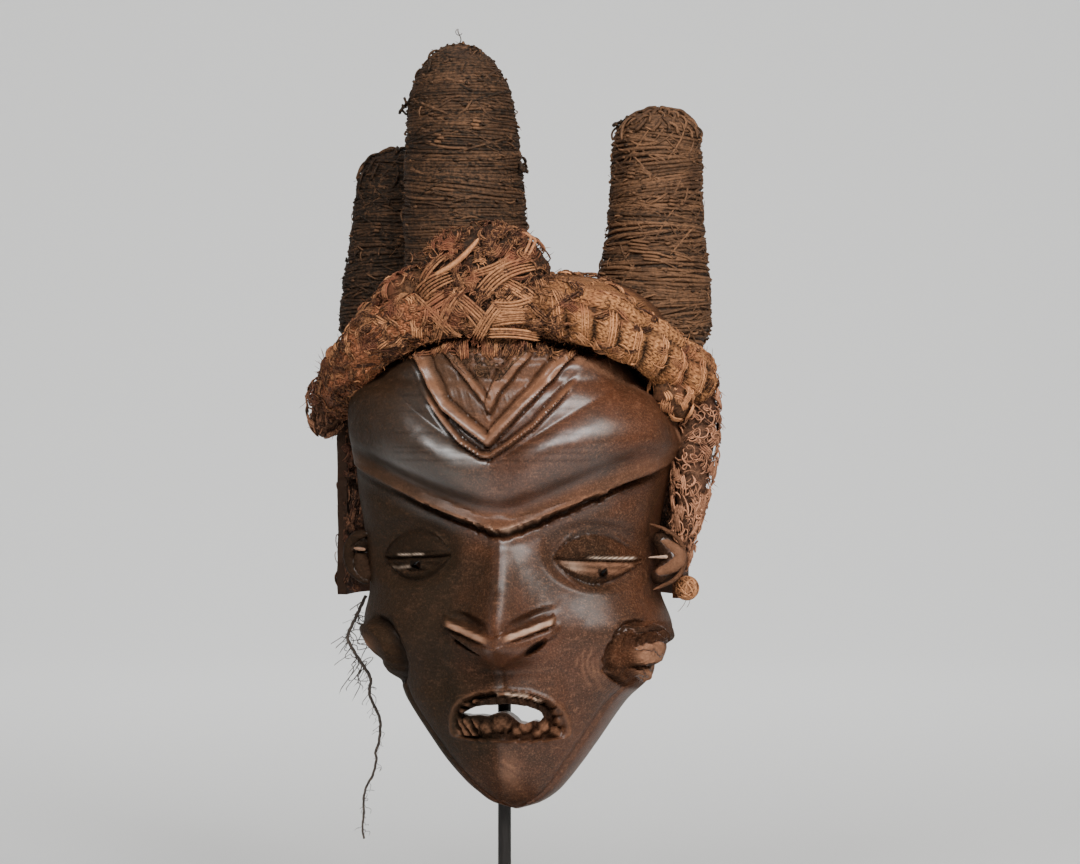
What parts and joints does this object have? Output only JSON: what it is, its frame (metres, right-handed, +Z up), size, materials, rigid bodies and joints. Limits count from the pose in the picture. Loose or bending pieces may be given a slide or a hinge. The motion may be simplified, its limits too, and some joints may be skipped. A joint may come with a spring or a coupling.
{
  "type": "pende mbuya mask",
  "caption": "Carved wooden face mask with a woven raffia cap, bound raffia horns and a hanging cord, held upright on a steel stand",
  "frame": {"origin": "middle of the underside of the stand's foot, under the rod", "axes": "+Z up along the rod, the face looks along -Y, +X is the viewer's right"},
  "size_m": [0.2586, 0.205, 0.578],
  "materials": {
    "carved_wood": "satin",
    "woven_raffia": "matte",
    "horn_binding": "matte",
    "loose_raffia": "matte",
    "dark_cord": "matte",
    "stand_steel": "satin"
  },
  "bodies": {
    "root": {"mask_face": "carved_wood", "raffia_cap": "woven_raffia", "horn_centre": "horn_binding", "horn_left": "horn_binding", "horn_right": "horn_binding", "front_tuft": "loose_raffia", "knot_ball": "loose_raffia", "hanging_cord": "dark_cord", "stand_rod": "stand_steel", "stand_foot": "stand_steel"}
  },
  "joints": []
}
